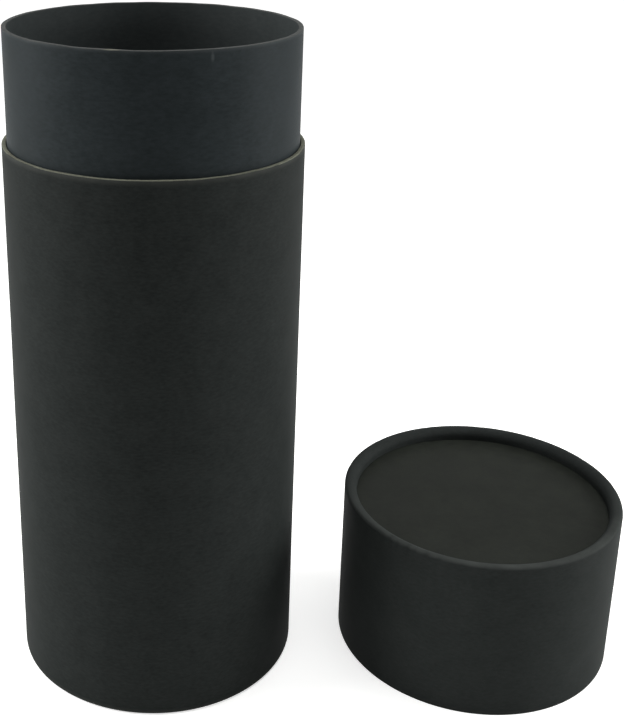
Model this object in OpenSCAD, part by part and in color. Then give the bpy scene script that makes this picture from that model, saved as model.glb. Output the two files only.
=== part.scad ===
// Cardboard tube with a telescoping cap, standing beside it.
// The tube is two board tubes, one glued inside the other: the inner one stands above the
// outer one as a neck, and the cap slides over that neck and seats on the outer rim.
// The closed ends are made alike: the wall is rolled inwards over a recessed disc.

/* [Outer tube] */
// Outside diameter of the outer tube
body_d = 92; // [70:1:140]
// Height of the outer tube, from its rolled foot to its cut rim
body_h = 177; // [100:1:260]
// Board thickness of the outer tube
body_wall = 1.4; // [1:0.1:2]

/* [Inner tube] */
// Height of the neck, the stretch of the inner tube above the outer rim
neck_h = 35; // [15:1:60]
// Board thickness of the inner tube
neck_wall = 1.4; // [1:0.1:2]
// Glue line between the two tubes, on the radius
glue_gap = 0.15; // [0.05:0.05:0.3]

/* [Cap] */
// Free height between the neck's rim and the cap's disc when the cap is on
head_room = 14; // [2:1:40]
// Board thickness of the cap
cap_wall = 1.6; // [1:0.1:2]
// Sliding clearance between the neck and the cap, on the radius
cap_clearance = 0.3; // [0.1:0.05:0.6]
// Space on the table between the tube and the cap
stand_gap = 18; // [5:1:80]

/* [Rolled edges] */
// Hollow inside a rolled edge, between the wall and its turned-in leg
roll_gap = 2; // [1:0.1:2.5]
// How much thinner the rolling press leaves the board, from the crest up to the disc
press = 0.5; // [0.45:0.05:0.6]
// Width of the flat pressed onto the crest of a rolled edge
roll_land = 0.8; // [0.2:0.1:1.2]
// Depth of the discs below the crests of the rolled edges
recess = 4; // [3.2:0.1:8]

/* [Discs] */
// Board thickness of the base disc
base_disc_t = 2; // [1:0.1:4]
// Board thickness of the cap's disc
cap_disc_t = 2; // [1:0.1:4]
// Clearance around each disc, on the radius
disc_gap = 0.1; // [0.05:0.05:0.15]

/* [Hidden] */
$fn = 160;

// Radii, from the outside of the tube inwards and then out again to the cap
body_r = body_d / 2;
body_bore_r = body_r - body_wall;
neck_r = body_bore_r - glue_gap;
neck_bore_r = neck_r - neck_wall;
cap_bore_r = neck_r + cap_clearance;
cap_r = cap_bore_r + cap_wall;

// Heights above the table
floor_z = recess + base_disc_t;
neck_top_z = body_h + neck_h;
cap_h = neck_h + head_room + cap_disc_t + recess;

// The set is centred on the table: the tube on the left and the cap on the right
set_w = 2 * body_r + stand_gap + 2 * cap_r;
tube_x = body_r - set_w / 2;
cap_x = set_w / 2 - cap_r;

black_paper = "#2b2d2c";
blue_black_paper = "#33373a";
black_disc = "#2f312f";

// Half section of a wall whose lower edge is rolled inwards, with the crest at height 0.
// The turned-in leg ends at the disc, and the disc beds against the step in the wall above it.
module rolled_section(radius, wall, height, disc_t) {
    pressed = wall - press;
    roll_w = 2 * pressed + roll_gap;
    bend_r = (roll_w - roll_land) / 2;
    hollow_r = roll_gap / 2;
    step_z = recess + disc_t;
    difference() {
        union() {
            crest_section(radius, roll_w, bend_r);
            translate([radius - roll_w, bend_r])
                square([roll_w, recess - bend_r]);
            translate([radius - pressed, bend_r])
                square([pressed, step_z - bend_r]);
            translate([radius - wall, step_z])
                square([wall, height - step_z]);
        }
        translate([radius - pressed - hollow_r, pressed + hollow_r])
            circle(hollow_r);
        translate([radius - pressed - roll_gap, pressed + hollow_r])
            square([roll_gap, recess - pressed - hollow_r]);
    }
}

// Radius of the disc that a rolled wall holds
function disc_r(radius, wall) = radius - (wall - press) - disc_gap;

// Crest of a rolled edge: a round shoulder on each side of the pressed flat
module crest_section(radius, roll_w, bend_r) {
    intersection() {
        union() {
            translate([radius - bend_r, bend_r])
                circle(bend_r);
            translate([radius - roll_w + bend_r, bend_r])
                circle(bend_r);
            translate([radius - roll_w + bend_r, 0])
                square([roll_land, bend_r]);
        }
        translate([radius - roll_w, 0])
            square([roll_w, bend_r]);
    }
}

module outer_tube() {
    color(black_paper)
        translate([tube_x, 0, 0])
            rotate_extrude()
                rolled_section(body_r, body_wall, body_h, base_disc_t);
}

module inner_tube() {
    color(blue_black_paper)
        translate([tube_x, 0, floor_z])
            rotate_extrude()
                translate([neck_bore_r, 0])
                    square([neck_wall, neck_top_z - floor_z]);
}

module base_disc() {
    color(black_disc)
        translate([tube_x, 0, recess])
            cylinder(r = disc_r(body_r, body_wall), h = base_disc_t);
}

// The cap's wall is drawn with its rolled edge down and then turned over
module cap_tube() {
    color(black_paper)
        translate([cap_x, 0, cap_h])
            mirror([0, 0, 1])
                rotate_extrude()
                    rolled_section(cap_r, cap_wall, cap_h, cap_disc_t);
}

module cap_disc() {
    color(black_disc)
        translate([cap_x, 0, cap_h - recess - cap_disc_t])
            cylinder(r = disc_r(cap_r, cap_wall), h = cap_disc_t);
}

outer_tube();
inner_tube();
base_disc();
cap_tube();
cap_disc();
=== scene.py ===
"""Looks of the cardboard tube and its cap: rolled board walls, paper finishes, studio and camera."""
import math

import bmesh
import bpy
from mathutils import Matrix, Vector


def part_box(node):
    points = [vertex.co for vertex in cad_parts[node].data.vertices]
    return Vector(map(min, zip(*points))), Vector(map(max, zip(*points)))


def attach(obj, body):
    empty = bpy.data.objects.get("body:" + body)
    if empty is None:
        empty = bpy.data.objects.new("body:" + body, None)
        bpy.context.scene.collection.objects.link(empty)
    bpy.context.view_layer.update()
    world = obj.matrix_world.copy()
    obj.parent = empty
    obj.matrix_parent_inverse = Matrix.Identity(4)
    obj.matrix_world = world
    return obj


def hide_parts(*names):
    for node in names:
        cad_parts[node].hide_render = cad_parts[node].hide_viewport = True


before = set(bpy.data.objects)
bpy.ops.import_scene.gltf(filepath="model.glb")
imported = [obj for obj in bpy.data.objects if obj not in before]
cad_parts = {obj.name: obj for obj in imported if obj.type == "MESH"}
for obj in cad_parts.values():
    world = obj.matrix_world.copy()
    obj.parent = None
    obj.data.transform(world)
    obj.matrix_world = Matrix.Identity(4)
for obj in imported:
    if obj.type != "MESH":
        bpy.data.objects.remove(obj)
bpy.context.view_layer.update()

MM = 0.001

# Board sizes in millimetres, the same as in the solids
BODY_R, BODY_WALL, BODY_H = 46.0, 1.4, 177.0
NECK_R, NECK_WALL, NECK_TOP = 44.45, 1.4, 212.0
CAP_R, CAP_WALL, CAP_H = 46.35, 1.6, 55.0
RECESS, DISC_T, DISC_GAP = 4.0, 2.0, 0.1
PRESS, ROLL_GAP = 0.5, 2.0
DISC_LIFT = RECESS + DISC_T

# Shoulder radius, land and drop of each curl: the cap's is tight on the outside and slopes down on the inside
FOOT_CURL, CAP_CURL = (1.5, 0.8, 1.5), (1.0, 0.4, 2.6)
# Room between the end of a curl's leg and its disc, and softness of a cut board edge
LEG_GAP, CUT_SOFT = 0.05, 0.3
# How far down from a cut rim its edge reaches, and how far down the rim ripples
EDGE, RIPPLED = 0.2, 0.5
# Thickness of the wrap, which covers the outermost ring of the tube's rim, and the cap disc's flat margin
WRAP_T, FLAT_MARGIN = 0.1, 6.0
# Lap of the wrap: its lift, the depth of skin that it lifts, and the share of a column drawn up to its edge
LAP_LIFT, SKIN, LAP_DRAW = 0.12, 0.2, 0.75
# Pleats of the curl: how far in and down they take hold, and how much they fall for each millimetre inwards
PLEAT_IN, PLEAT_DOWN, PLEAT_FALL = 1.4, 1.3, 0.7

# How finely the pieces are drawn: columns around, rings along a wall or a disc, and parts of a round corner
BODY_STEPS, CAP_STEPS = 192, 384
BODY_RINGS, CAP_RINGS, DISC_RINGS = 26, 12, 12
SHOULDER_PARTS, HOLLOW_PARTS, CURL_PARTS = 9, 8, 12
RIM_PARTS, HIDDEN_PARTS = 4, 3
# Points closer than this many millimetres are merged, and edges sharper than this many degrees stay crisp
MERGE, CREASE = 0.005, 40

# The axes of the two round pieces come from the solids
TUBE_X = sum(corner.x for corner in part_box("outer_tube")) / 2
CAP_X = sum(corner.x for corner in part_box("cap_tube")) / 2


# Half sections, as (radius, height) points in millimetres

def arc(r, z, radius, start, end, parts):
    """A round corner, with its angles in degrees from the outward direction."""
    turns = [math.radians(start + (end - start) * i / parts) for i in range(parts + 1)]
    return [(r + radius * math.cos(t), z + radius * math.sin(t)) for t in turns]


def straight(r, start, end, parts):
    """The inner points of a straight wall, so that it can be bent a little afterwards."""
    return [(r, start + (end - start) * i / parts) for i in range(1, parts)]


def roll_width(wall):
    """Width of a rolled edge: the pressed wall, the hollow and the turned-in leg."""
    return 2 * (wall - PRESS) + ROLL_GAP


def disc_radius(radius, wall):
    """Radius of the disc that a rolled wall holds."""
    return radius - (wall - PRESS) - DISC_GAP


def rolled_section(radius, wall, height, rings, shoulder, land, drop):
    """A wall with its lower edge rolled inwards: crest at height 0, leg, hollow and the step over the disc.
    From the crest, the curl is level for the land and then runs round into the leg over the drop."""
    pressed = wall - PRESS
    hollow = ROLL_GAP / 2
    leg_r = radius - roll_width(wall)
    leg_in = roll_width(wall) - shoulder - land
    leg_end = RECESS - LEG_GAP
    top = height - CUT_SOFT
    return (
        arc(radius - shoulder, shoulder, shoulder, -90, 0, SHOULDER_PARTS)
        + straight(radius, shoulder, top, rings)
        + arc(radius - CUT_SOFT, top, CUT_SOFT, 0, 90, RIM_PARTS)
        + arc(radius - wall + CUT_SOFT, top, CUT_SOFT, 90, 180, RIM_PARTS)
        + straight(radius - wall, top, DISC_LIFT, rings)
        + [(radius - wall, DISC_LIFT), (radius - pressed, DISC_LIFT)]
        + arc(radius - pressed - hollow, pressed + hollow, hollow, 0, -180, HOLLOW_PARTS)
        + [(leg_r + pressed, leg_end), (leg_r, leg_end)]
        + [(leg_r + leg_in * r, drop * z) for r, z in arc(1, 1, 1, 180, 270, CURL_PARTS)]
    )


def plain_section(radius, wall, low, high, rings):
    """A straight wall with softly worn cut edges."""
    inner = radius - wall
    foot, top = low + CUT_SOFT, high - CUT_SOFT
    return (
        arc(radius - CUT_SOFT, foot, CUT_SOFT, -90, 0, HIDDEN_PARTS)
        + straight(radius, foot, top, rings)
        + arc(radius - CUT_SOFT, top, CUT_SOFT, 0, 90, RIM_PARTS)
        + arc(inner + CUT_SOFT, top, CUT_SOFT, 90, 180, RIM_PARTS)
        + straight(inner, top, foot, rings)
        + arc(inner + CUT_SOFT, foot, CUT_SOFT, 180, 270, HIDDEN_PARTS)
    )


def disc_section(radius, low):
    """A punched disc with soft edges, from its axis outwards and back."""
    high = low + DISC_T
    rings = [radius * i / DISC_RINGS for i in range(DISC_RINGS)]
    return (
        [(r, low) for r in rings]
        + arc(radius - CUT_SOFT, low + CUT_SOFT, CUT_SOFT, -90, 0, HIDDEN_PARTS)
        + arc(radius - CUT_SOFT, high - CUT_SOFT, CUT_SOFT, 0, 90, HIDDEN_PARTS)
        + [(r, high) for r in reversed(rings)]
    )


# Shaping

def turned(name, axis_x, section, steps):
    """Draws the half section from one point, spins it round the axis and closes it."""
    bpy.ops.object.select_all(action="DESELECT")
    bpy.ops.mesh.primitive_plane_add(size=MM)
    piece = bpy.context.object
    piece.name = piece.data.name = name
    bpy.ops.object.mode_set(mode="EDIT")
    bpy.ops.mesh.merge(type="CENTER")
    points = [Vector((axis_x + r * MM, 0, z * MM)) for r, z in section]
    bpy.ops.transform.translate(value=points[0])
    for here, there in zip(points, points[1:] + points[:1]):
        bpy.ops.mesh.extrude_region_move(TRANSFORM_OT_translate={"value": there - here})
    bpy.ops.mesh.select_all(action="SELECT")
    bpy.ops.mesh.spin(steps=steps, angle=2 * math.pi, use_auto_merge=True,
                      center=(axis_x, 0, 0), axis=(0, 0, 1))
    bpy.ops.mesh.select_all(action="SELECT")
    bpy.ops.mesh.remove_doubles(threshold=MERGE * MM)
    bpy.ops.mesh.normals_make_consistent(inside=False)
    bpy.ops.object.mode_set(mode="OBJECT")
    return piece


def picked(piece):
    """Makes the piece the only one selected."""
    bpy.ops.object.select_all(action="DESELECT")
    bpy.context.view_layer.objects.active = piece
    piece.select_set(True)


def place_of(point, axis_x):
    """Radius and height in millimetres, and the turn in degrees from +X."""
    x, y = point.x - axis_x, point.y
    return math.hypot(x, y) / MM, point.z / MM, math.degrees(math.atan2(y, x)) % 360


def edit(piece, axis_x, kind, chosen):
    """Opens the piece in edit mode, with only those vertices or faces selected whose place is chosen."""
    picked(piece)
    bpy.ops.object.mode_set(mode="EDIT")
    bpy.ops.mesh.select_mode(type=kind)
    bpy.ops.mesh.select_all(action="DESELECT")
    mesh = bmesh.from_edit_mesh(piece.data)
    if kind == "VERT":
        for vertex in mesh.verts:
            vertex.select_set(chosen(*place_of(vertex.co, axis_x)))
    else:
        for face in mesh.faces:
            face.select_set(chosen(*place_of(face.calc_center_median(), axis_x)))
    mesh.select_flush_mode()
    bmesh.update_edit_mesh(piece.data)


def cloud(name, size_mm):
    """A soft pattern of swells of about that size, for bending a wall."""
    texture = bpy.data.textures.new(name, "CLOUDS")
    texture.noise_scale = size_mm * MM
    texture.noise_depth = 1
    return texture


def bent(piece, direction, texture, amount_mm, axis_x=0.0, chosen=None):
    """Moves the wall a little along one axis by the pattern, all over or only where chosen."""
    bend = piece.modifiers.new("bend", "DISPLACE")
    bend.texture, bend.texture_coords = texture, "LOCAL"
    bend.direction, bend.mid_level = direction, 0.5
    bend.strength = amount_mm * MM
    picked(piece)
    if chosen:
        group = piece.vertex_groups.new(name="bend")
        moved = [v.index for v in piece.data.vertices if chosen(*place_of(v.co, axis_x))]
        group.add(moved, 1.0, "REPLACE")
        bend.vertex_group = group.name
    bpy.ops.object.modifier_apply(modifier="bend")
    piece.vertex_groups.clear()


def lapped(piece, axis_x, radius, steps, first, columns):
    """Glued lap of the wrap: some columns of the outer face stand proud by the lift, with a crisp edge."""
    step = 360 / steps
    low, high = (first - 0.5) * step, (first + columns - 0.5) * step
    grow = 1 + LAP_LIFT / radius
    edit(piece, axis_x, "VERT", lambda r, z, turn: r > radius - SKIN and low < turn < high)
    bpy.ops.transform.resize(value=(grow, grow, 1), center_override=(axis_x, 0, 0))
    bpy.ops.object.mode_set(mode="OBJECT")
    edit(piece, axis_x, "VERT", lambda r, z, turn: r > radius - SKIN and low - step < turn < low)
    bpy.ops.transform.rotate(value=math.radians(-LAP_DRAW * step), orient_axis="Z",
                             center_override=(axis_x, 0, 0))
    bpy.ops.object.mode_set(mode="OBJECT")


def pleated(piece, axis_x, radius, crest_z, pleats):
    """Small pleats where the board was curled: each one pushes a short line of the outer shoulder in."""
    half_column = 180 / CAP_STEPS
    for middle, depth, reach in pleats:
        edit(piece, axis_x, "VERT", lambda r, z, turn: r > radius - PLEAT_IN and abs(z - crest_z) < PLEAT_DOWN
             and abs(turn - middle) < half_column)
        out = Vector((math.cos(math.radians(middle)), math.sin(math.radians(middle)), PLEAT_FALL))
        bpy.ops.transform.translate(value=-depth * MM * out, use_proportional_edit=True,
                                    use_proportional_connected=True, proportional_edit_falloff="SMOOTH",
                                    proportional_size=reach * MM)
        bpy.ops.object.mode_set(mode="OBJECT")


def paint(piece, axis_x, material, chosen):
    """Gives a material to the faces whose radius, height and turn are chosen."""
    piece.data.materials.append(material)
    piece.active_material_index = len(piece.data.materials) - 1
    edit(piece, axis_x, "FACE", chosen)
    bpy.ops.object.material_slot_assign()
    bpy.ops.object.mode_set(mode="OBJECT")


def everywhere(r, z, turn):
    """Chooses the whole piece."""
    return True


def finished(piece, node):
    """Smooth shading with crisp cut edges, then the piece takes its node's place on the body."""
    picked(piece)
    bpy.ops.object.shade_smooth_by_angle(angle=math.radians(CREASE))
    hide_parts(node)
    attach(piece, "root")


# Materials

# Sizes in millimetres that the papers share: slow mottle, rubbed patches, one ply, depth of the fibres
MOTTLE_MM, RUB_MM, PLY_MM, BUMP_MM = 9.0, 6.0, 0.35, 0.06
# The fibres lie around the tube, so their clumps are longer that way than they are high
FIBRE_LIE = (0.4, 0.4, 1)
# Weight of the mottle and of the plies beside the fibres
MOTTLE_WEIGHT, PLY_WEIGHT = 0.45, 0.25
# Sums of mottle and fibres that give the dark and the light colour
DARKEST, LIGHTEST = 0.43, 1.02
# Most of a noise pattern's values lie between these two
NOISE_LOW, NOISE_HIGH = 0.3, 0.7
# Least wear on a rubbed edge, the spread of roughness about its middle, and the strength of the bump
LEAST_RUB, ROUGH_SPREAD, BUMP_STRENGTH = 0.5, 0.06, 0.25
# A spot's ragged edge: the weight of the fibres in it, and the distances where it starts to fade and is gone
RAGGED, FADES, GONE = 0.9, 0.7, 1.5
PAPER_IOR = 1.45


def srgb(code):
    """A hex colour as linear red, green, blue, alpha."""
    parts = [int(code[i:i + 2], 16) / 255 for i in (1, 3, 5)]
    return [c / 12.92 if c <= 0.04045 else ((c + 0.055) / 1.055) ** 2.4 for c in parts] + [1.0]


def add(tree, kind, sockets=(), **settings):
    """Adds a node with its settings; each socket gets a value or a link."""
    node = tree.nodes.new(kind)
    for name, value in settings.items():
        setattr(node, name, value)
    for name, value in dict(sockets).items():
        if isinstance(value, bpy.types.NodeSocket):
            tree.links.new(value, node.inputs[name])
        else:
            node.inputs[name].default_value = value
    return node


def plies(tree, where, axis_x):
    """Rings of the plies that the board is wound from, with a darker glue line between them."""
    off = add(tree, "ShaderNodeVectorMath", {0: where, 1: (axis_x, 0, 0)}, operation="SUBTRACT").outputs[0]
    off = add(tree, "ShaderNodeVectorMath", {0: off, 1: (1, 1, 0)}, operation="MULTIPLY").outputs[0]
    off = add(tree, "ShaderNodeVectorMath", {0: off}, operation="LENGTH").outputs["Value"]
    wave = 2 * math.pi / (PLY_MM * MM)
    rings = add(tree, "ShaderNodeMath", {0: off, 1: wave}, operation="MULTIPLY").outputs[0]
    return add(tree, "ShaderNodeMath", {0: rings}, operation="SINE").outputs[0]


def rub_and_highlight_mask(tree, where, rows, painted_highlight_depths):
    """Wear in patches along rows of a height and a reach each; fading it out from the front to the back
    between two depths leaves a painted highlight on the front.
    """
    axes = add(tree, "ShaderNodeSeparateXYZ", {0: where}).outputs
    rub_and_highlight = 0.0
    for row, reach in rows:
        off = add(tree, "ShaderNodeMath", {0: axes["Z"], 1: row * MM}, operation="SUBTRACT").outputs[0]
        off = add(tree, "ShaderNodeMath", {0: off}, operation="ABSOLUTE").outputs[0]
        near = add(tree, "ShaderNodeMapRange", {"Value": off, "From Max": reach * MM, "To Min": 1.0,
                                                "To Max": 0.0}, interpolation_type="SMOOTHSTEP").outputs[0]
        rub_and_highlight = add(tree, "ShaderNodeMath", {0: near, 1: rub_and_highlight}, operation="MAXIMUM").outputs[0]
    rub = add(tree, "ShaderNodeTexNoise", {"Vector": where, "Scale": 1 / (RUB_MM * MM), "Detail": 4.0})
    rub = add(tree, "ShaderNodeMapRange", {"Value": rub.outputs["Fac"], "From Min": NOISE_LOW,
                                           "From Max": NOISE_HIGH, "To Min": LEAST_RUB}).outputs[0]
    rub_and_highlight = add(tree, "ShaderNodeMath", {0: rub_and_highlight, 1: rub}, operation="MULTIPLY").outputs[0]
    # Fading the wear out from the front to the back leaves the front of the cap's crest lighter: a painted
    # highlight.
    if painted_highlight_depths:
        front, back = painted_highlight_depths
        side = add(tree, "ShaderNodeMapRange", {"Value": axes["Y"], "From Min": front * MM,
                                                "From Max": back * MM, "To Min": 1.0,
                                                "To Max": 0.0}).outputs[0]
        rub_and_highlight = add(tree, "ShaderNodeMath", {0: rub_and_highlight, 1: side}, operation="MULTIPLY").outputs[0]
    return rub_and_highlight


def spot(tree, where, fibre, turn, radius, height, half_w, half_h, strength):
    """One ragged spot on the tube, placed by its turn in degrees, radius and height, with its half sizes."""
    x, y = radius * math.cos(math.radians(turn)), radius * math.sin(math.radians(turn))
    middle = (TUBE_X + x * MM, y * MM, height * MM)
    size = (1 / (half_w * MM), 1 / (half_w * MM), 1 / (half_h * MM))
    off = add(tree, "ShaderNodeVectorMath", {0: where, 1: middle}, operation="SUBTRACT").outputs[0]
    off = add(tree, "ShaderNodeVectorMath", {0: off, 1: size}, operation="MULTIPLY").outputs[0]
    off = add(tree, "ShaderNodeVectorMath", {0: off}, operation="LENGTH").outputs["Value"]
    off = add(tree, "ShaderNodeMath", {0: fibre, 1: RAGGED, 2: off}, operation="MULTIPLY_ADD").outputs[0]
    return add(tree, "ShaderNodeMapRange", {"Value": off, "From Min": FADES, "From Max": GONE,
                                            "To Min": strength, "To Max": 0.0}).outputs[0]


def paper(name, dark, light, roughness, gloss, fibre_mm, rub_and_highlight_colour=None, rub_and_highlight_rows=(), painted_highlight_depths=None, spots=(),
          ply_axis=None):
    """Paper or board, seen as clumps of fibre over a slow mottle, with a fibre bump.
    rub_and_highlight_rows: (height, reach) in millimetres of edges where handling has rubbed the dye to the
    worn colour; on the cap's crest this colour is also a painted highlight.
    handled: two depths in millimetres, between which the wear fades out from the front to the back, which
    leaves a painted highlight on the front.
    spots: (turn, radius, height, half width, half height, strength, colour), in degrees and millimetres.
    ply_axis: for a cut edge, the axis around which the plies of the board show as rings."""
    material = bpy.data.materials.new(name)
    material.use_nodes = True
    tree = material.node_tree
    shader = tree.nodes["Principled BSDF"]
    where = add(tree, "ShaderNodeTexCoord").outputs["Object"]
    around = add(tree, "ShaderNodeVectorMath", {0: where, 1: FIBRE_LIE}, operation="MULTIPLY").outputs[0]
    fibre = add(tree, "ShaderNodeTexNoise", {"Vector": around, "Scale": 1 / (fibre_mm * MM), "Detail": 3.0,
                                             "Roughness": 0.65}).outputs["Fac"]
    mottle = add(tree, "ShaderNodeTexNoise", {"Vector": where, "Scale": 1 / (MOTTLE_MM * MM), "Detail": 4.0})
    share = add(tree, "ShaderNodeMath", {0: mottle.outputs["Fac"], 1: MOTTLE_WEIGHT, 2: fibre},
                operation="MULTIPLY_ADD").outputs[0]
    share = add(tree, "ShaderNodeMapRange", {"Value": share, "From Min": DARKEST,
                                             "From Max": LIGHTEST}).outputs[0]
    if ply_axis is not None:
        share = add(tree, "ShaderNodeMath", {0: plies(tree, where, ply_axis), 1: PLY_WEIGHT, 2: share},
                    operation="MULTIPLY_ADD").outputs[0]
    colour = add(tree, "ShaderNodeMix", {"Factor": share, "A": srgb(dark), "B": srgb(light)},
                 data_type="RGBA", clamp_factor=True).outputs["Result"]
    layers = [(rub_and_highlight_mask(tree, where, rub_and_highlight_rows, painted_highlight_depths), rub_and_highlight_colour)] if rub_and_highlight_rows else []
    layers += [(spot(tree, where, fibre, *place), tint) for *place, tint in spots]
    for mask, tint in layers:
        colour = add(tree, "ShaderNodeMix", {"Factor": mask, "A": colour, "B": srgb(tint)},
                     data_type="RGBA").outputs["Result"]
    rough = add(tree, "ShaderNodeMapRange", {"Value": fibre, "From Min": NOISE_LOW, "From Max": NOISE_HIGH,
                                             "To Min": roughness - ROUGH_SPREAD,
                                             "To Max": roughness + ROUGH_SPREAD}).outputs[0]
    bump = add(tree, "ShaderNodeBump", {"Height": fibre, "Strength": BUMP_STRENGTH, "Distance": BUMP_MM * MM})
    for socket, value in (("Base Color", colour), ("Roughness", rough), ("Normal", bump.outputs["Normal"])):
        tree.links.new(value, shader.inputs[socket])
    shader.inputs["IOR"].default_value = PAPER_IOR
    shader.inputs["Specular IOR Level"].default_value = gloss
    return material


# Uncoated paper dyed black, wound on as the outer ply: deep, dry and even, greyer where its edges are rubbed.
# Paper fibres are about 0.03 mm across, so all papers draw them as clumps of 0.5 to 0.9 mm, which show.
wrap_paper = paper("uncoated_black_wrap_paper", "#202322", "#2d302f", roughness=0.65, gloss=0.025,
                   fibre_mm=0.7, rub_and_highlight_colour="#3d3f3c", rub_and_highlight_rows=((BODY_H, 2.0), (0.0, 2.4)))
# The same paper on the cap, a shade lighter as painted light; its crest is rubbed, lighter on the front as a
# painted highlight.
painted_light_cap_paper = paper("uncoated_black_cap_paper_painted_light", "#262928", "#303332", roughness=0.65, gloss=0.025,
                  fibre_mm=0.7, rub_and_highlight_colour="#3f4240", rub_and_highlight_rows=((CAP_H, 0.9),), painted_highlight_depths=(-30.0, 10.0))
# Calendered liner paper: pressed smoother than the wrap and cooler in tone, partly a painted sheen tint, with
# a pale scuff under its rim.
liner_paper = paper("calendered_black_liner_paper", "#232829", "#2e3335", roughness=0.52, gloss=0.03,
                    fibre_mm=0.9, rub_and_highlight_colour="#3c4041", rub_and_highlight_rows=((NECK_TOP, 1.2),),
                    spots=((293.0, NECK_R, 210.0, 0.6, 1.7, 0.6, "#4a4f50"),))
# Inner ply of the tube: the same dye on rougher paper that was never pressed, so it is lighter and duller.
inner_ply = paper("uncoated_dark_inner_ply", "#303434", "#3a3e3e", roughness=0.8, gloss=0.05, fibre_mm=0.9)
# Solid board dyed through and punched to a disc: a little warmer than the wrap, with a faint sheen.
disc_board = paper("black_dyed_solid_board", "#1c1e1b", "#292c27", roughness=0.62, gloss=0.07, fibre_mm=0.9)
# Cut edges show the plies of the board under the paper, dull and matte.
# In the outer tube and the cap they are pale kraft.
kraft_edge = paper("kraft_board_cut_edge", "#5a5b50", "#787a6d", roughness=0.85, gloss=0.1, fibre_mm=0.5,
                   ply_axis=TUBE_X)
cap_edge = paper("kraft_board_cap_edge", "#5a5b50", "#787a6d", roughness=0.85, gloss=0.1, fibre_mm=0.5,
                 ply_axis=CAP_X)
# In the inner tube they are dyed, so only a little lighter than the liner, and one rubbed patch is paler.
dyed_edge = paper("dyed_board_cut_edge", "#353736", "#494b4a", roughness=0.8, gloss=0.1, fibre_mm=0.5,
                  ply_axis=TUBE_X, spots=((257.7, NECK_R - 0.5, NECK_TOP, 2.6, 1.5, 1.0, "#5f5f57"),))


# Pieces

foot_section = rolled_section(BODY_R, BODY_WALL, BODY_H, BODY_RINGS, *FOOT_CURL)
neck_section = plain_section(NECK_R, NECK_WALL, DISC_LIFT, NECK_TOP, BODY_RINGS)
cap_section = [(r, CAP_H - z) for r, z in rolled_section(CAP_R, CAP_WALL, CAP_H, CAP_RINGS, *CAP_CURL)]
base_section = disc_section(disc_radius(BODY_R, BODY_WALL), RECESS)
lid_section = disc_section(disc_radius(CAP_R, CAP_WALL), CAP_H - DISC_LIFT)
body = turned("body_wall", TUBE_X, foot_section, BODY_STEPS)
neck = turned("neck_wall", TUBE_X, neck_section, BODY_STEPS)
base = turned("base_disc_board", TUBE_X, base_section, BODY_STEPS)
cap = turned("cap_wall", CAP_X, cap_section, CAP_STEPS)
lid = turned("cap_disc_board", CAP_X, lid_section, BODY_STEPS)

# Laps of the wrap at the back of each piece
lapped(body, TUBE_X, BODY_R, BODY_STEPS, first=53, columns=5)
lapped(cap, CAP_X, CAP_R, CAP_STEPS, first=88, columns=9)

# Pleats of the curl: turn in degrees, depth and reach in millimetres; the front left of the cap has the most
PLEATS = (
    (213, 0.18, 1.6), (219, 0.4, 1.4), (223.5, 0.28, 1.3), (228, 0.45, 1.4), (232, 0.3, 1.2),
    (236.5, 0.4, 1.4), (242, 0.26, 1.4), (251, 0.14, 1.6), (266, 0.05, 1.8), (287, 0.06, 1.7),
    (309, 0.05, 1.8), (334, 0.07, 1.7), (2, 0.05, 1.8), (27, 0.06, 1.6), (52, 0.05, 1.8),
    (79, 0.07, 1.7), (104, 0.05, 1.6), (131, 0.06, 1.8), (158, 0.05, 1.6), (184, 0.07, 1.8),
)
pleated(cap, CAP_X, CAP_R, CAP_H, PLEATS)

# Hand-made unevenness: walls sway a little off round, cut rims ripple and the cap's disc is not quite flat
sway_x, sway_y = cloud("sway_x", size_mm=60), cloud("sway_y", size_mm=60)
sway_y.noise_basis = "IMPROVED_PERLIN"
for piece in (body, neck, base, cap, lid):
    bent(piece, "X", sway_x, amount_mm=0.25)
    bent(piece, "Y", sway_y, amount_mm=0.25)
ripple, swell = cloud("rim_ripple", size_mm=9), cloud("disc_swell", size_mm=30)
bent(body, "Z", ripple, amount_mm=0.25, axis_x=TUBE_X, chosen=lambda r, z, turn: z > BODY_H - RIPPLED)
bent(neck, "Z", ripple, amount_mm=0.3, axis_x=TUBE_X, chosen=lambda r, z, turn: z > NECK_TOP - RIPPLED)
bent(lid, "Z", swell, amount_mm=0.25, axis_x=CAP_X, chosen=lambda r, z, turn: r < CAP_R - FLAT_MARGIN)

paint(body, TUBE_X, wrap_paper, everywhere)
paint(body, TUBE_X, kraft_edge, lambda r, z, turn: z > BODY_H - EDGE and r < BODY_R - WRAP_T)
paint(neck, TUBE_X, liner_paper, everywhere)
paint(neck, TUBE_X, inner_ply, lambda r, z, turn: r < NECK_R - NECK_WALL + CUT_SOFT)
paint(neck, TUBE_X, dyed_edge, lambda r, z, turn: z > NECK_TOP - EDGE)
paint(base, TUBE_X, disc_board, everywhere)
paint(cap, CAP_X, painted_light_cap_paper, everywhere)
paint(cap, CAP_X, cap_edge, lambda r, z, turn: z < EDGE)
paint(lid, CAP_X, disc_board, everywhere)

finished(body, "outer_tube")
finished(neck, "inner_tube")
finished(base, "base_disc")
finished(cap, "cap_tube")
finished(lid, "cap_disc")


# Studio: a pale floor that runs into a white background, and soft lamps on both sides, above and behind

# What the background sheds on the object, where 1 is the white that the camera sees
AMBIENT = 0.13
# Floor in metres: its size, and the distances between which its colour and its own glow change
FLOOR_SIZE, FLOOR_NEAR, FLOOR_FAR = 6, 0.15, 0.6
NEAR_COLOUR, FAR_COLOUR = "#f4f4f2", "#b4b4b2"
NEAR_GLOW, FAR_GLOW = 0.6, 0.95
# Glossy rays see the floor's glow whole behind the object and only a share of it in front
GLOW_FRONT, GLOW_BACK, FRONT_SHARE = -0.25, 0.1, 0.3
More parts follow.
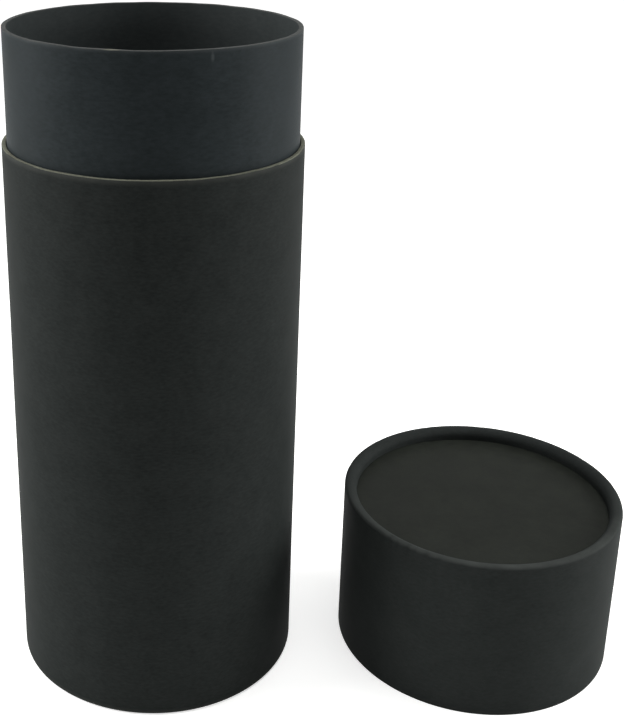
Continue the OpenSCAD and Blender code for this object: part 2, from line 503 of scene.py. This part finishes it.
# They see the white background by its direction: more of it straight behind, and little of it high up
SKY_FRONT, SKY_BACK = 0.2, 1.0
SKY_LOW, SKY_HIGH, HIGH_SHARE = 0.55, 0.85, 0.1


def seen(tree, glossy_share):
    """How much of the white a ray sees: all for the camera and through glass, and a share for glossy rays."""
    rays = add(tree, "ShaderNodeLightPath").outputs
    white = add(tree, "ShaderNodeMath", {0: rays["Is Glossy Ray"], 1: glossy_share}, operation="MULTIPLY")
    for whole in (rays["Is Camera Ray"], rays["Is Transmission Ray"]):
        white = add(tree, "ShaderNodeMath", {0: whole, 1: white.outputs[0]}, operation="MAXIMUM")
    return white.outputs[0]


bpy.ops.mesh.primitive_plane_add(size=FLOOR_SIZE)
floor = bpy.context.object
floor.name = "studio_floor"
floor_sheet = bpy.data.materials.new("matte_white_floor_sheet")
floor_sheet.use_nodes = True
tree = floor_sheet.node_tree
tree.nodes.remove(tree.nodes["Principled BSDF"])
where = add(tree, "ShaderNodeTexCoord").outputs["Object"]
depth = add(tree, "ShaderNodeSeparateXYZ", {0: where}).outputs["Y"]
behind = add(tree, "ShaderNodeMapRange", {"Value": depth, "From Min": GLOW_FRONT, "From Max": GLOW_BACK,
                                          "To Min": FRONT_SHARE}).outputs[0]
away = add(tree, "ShaderNodeVectorMath", {0: where}, operation="LENGTH").outputs["Value"]
reach = add(tree, "ShaderNodeMapRange", {"Value": away, "From Min": FLOOR_NEAR,
                                         "From Max": FLOOR_FAR}).outputs[0]
level = add(tree, "ShaderNodeMapRange", {"Value": reach, "To Min": NEAR_GLOW, "To Max": FAR_GLOW}).outputs[0]
level = add(tree, "ShaderNodeMath", {0: seen(tree, behind), 1: level}, operation="MULTIPLY").outputs[0]
glow = add(tree, "ShaderNodeEmission", {"Strength": level}).outputs[0]
tint = add(tree, "ShaderNodeMix", {"Factor": reach, "A": srgb(NEAR_COLOUR), "B": srgb(FAR_COLOUR)},
           data_type="RGBA").outputs["Result"]
sheet = add(tree, "ShaderNodeBsdfDiffuse", {"Color": tint}).outputs[0]
both = add(tree, "ShaderNodeAddShader", {0: glow, 1: sheet}).outputs[0]
tree.links.new(both, tree.nodes["Material Output"].inputs["Surface"])
floor.data.materials.append(floor_sheet)

world = bpy.data.worlds.new("white_studio")
bpy.context.scene.world = world
world.use_nodes = True
tree = world.node_tree
way = add(tree, "ShaderNodeTexCoord").outputs["Generated"]
axes = add(tree, "ShaderNodeSeparateXYZ", {0: way}).outputs
behind = add(tree, "ShaderNodeMapRange", {"Value": axes["Y"], "From Min": SKY_FRONT,
                                          "From Max": SKY_BACK}).outputs[0]
low = add(tree, "ShaderNodeMapRange", {"Value": axes["Z"], "From Min": SKY_LOW, "From Max": SKY_HIGH,
                                       "To Min": 1.0, "To Max": HIGH_SHARE}).outputs[0]
share = add(tree, "ShaderNodeMath", {0: behind, 1: low}, operation="MULTIPLY").outputs[0]
level = add(tree, "ShaderNodeMapRange", {"Value": seen(tree, share), "To Min": AMBIENT}).outputs[0]
tree.nodes["Background"].inputs["Color"].default_value = (1, 1, 1, 1)
tree.links.new(level, tree.nodes["Background"].inputs["Strength"])

# Each lamp: name, place and aim in millimetres, width and height in millimetres, watts
LAMPS = (
    ("left_softbox", (-850, 20, 420), (-50, 0, 110), 600, 900, 10.5),
    ("right_softbox", (870, 20, 300), (50, 0, 90), 500, 600, 8.6),
    ("overhead_softbox", (0, -40, 930), (0, 0, 80), 900, 900, 5.4),
    ("backdrop_softbox", (40, 850, 430), (20, 0, 60), 900, 450, 0.9),
)
for name, place, aim, width, height, watts in LAMPS:
    place, aim = Vector(place) * MM, Vector(aim) * MM
    facing = (aim - place).to_track_quat("-Z", "Y").to_euler()
    bpy.ops.object.light_add(type="AREA", location=place, rotation=facing)
    lamp = bpy.context.object
    lamp.name = lamp.data.name = name
    lamp.data.shape = "RECTANGLE"
    lamp.data.size, lamp.data.size_y = width * MM, height * MM
    lamp.data.energy = watts


# Camera, in the photograph's place: before the tube and above it, its view shifted down and to the right

# Place in millimetres, turns in degrees, lens and sensor in millimetres, shift as a share of the frame
CAMERA_AT = (-39.9, -360.6, 270.2)
PAN, TILT, ROLL = 1.28, 19.52, 0.79
LENS_MM, SENSOR_MM = 60.71, 36.0
SHIFT_X, SHIFT_Y = 0.1139, -0.1583
# Nearest and farthest distance that the camera sees, in metres
CLIP_NEAR, CLIP_FAR = 0.01, 20

facing = (Matrix.Rotation(math.radians(-PAN), 3, "Z") @ Matrix.Rotation(math.radians(90 - TILT), 3, "X")
          @ Matrix.Rotation(math.radians(ROLL), 3, "Z"))
bpy.ops.object.camera_add(location=Vector(CAMERA_AT) * MM, rotation=facing.to_euler())
camera = bpy.context.object
camera.name = "photo_camera"
camera.data.lens, camera.data.sensor_width = LENS_MM, SENSOR_MM
camera.data.shift_x, camera.data.shift_y = SHIFT_X, SHIFT_Y
camera.data.clip_start, camera.data.clip_end = CLIP_NEAR, CLIP_FAR
bpy.context.scene.camera = camera
bpy.context.scene.view_settings.view_transform = "Standard"
